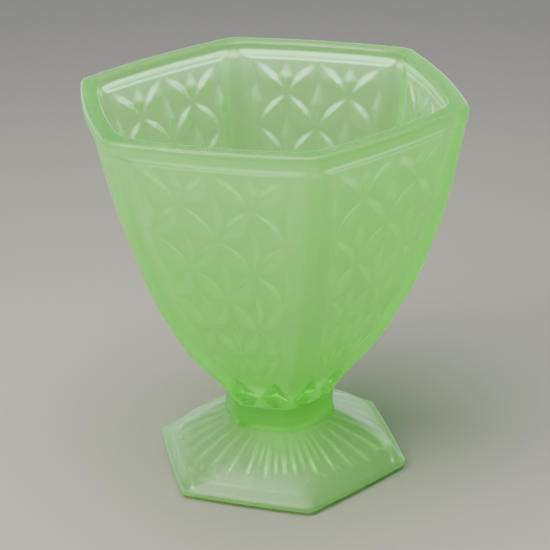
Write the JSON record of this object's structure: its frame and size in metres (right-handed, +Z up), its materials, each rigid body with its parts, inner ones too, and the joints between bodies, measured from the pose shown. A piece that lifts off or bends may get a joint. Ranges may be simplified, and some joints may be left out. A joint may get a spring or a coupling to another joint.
{
  "type": "footed glass dish",
  "caption": "Six-sided flaring glass dish on a short collar and a domed hexagonal foot, with star-cut panels between corner ribs and a plain rim band.",
  "frame": {"origin": "middle of the foot's base, on the surface it stands on", "axes": "+Z up along the dish's axis, +X through a corner of the hexagon"},
  "size_m": [0.1188, 0.107, 0.12],
  "materials": {
    "frosted_green_glass": "acid-frosted, satin"
  },
  "bodies": {
    "root": {"bowl": "frosted_green_glass", "collar": "frosted_green_glass", "foot": "frosted_green_glass"}
  },
  "joints": []
}
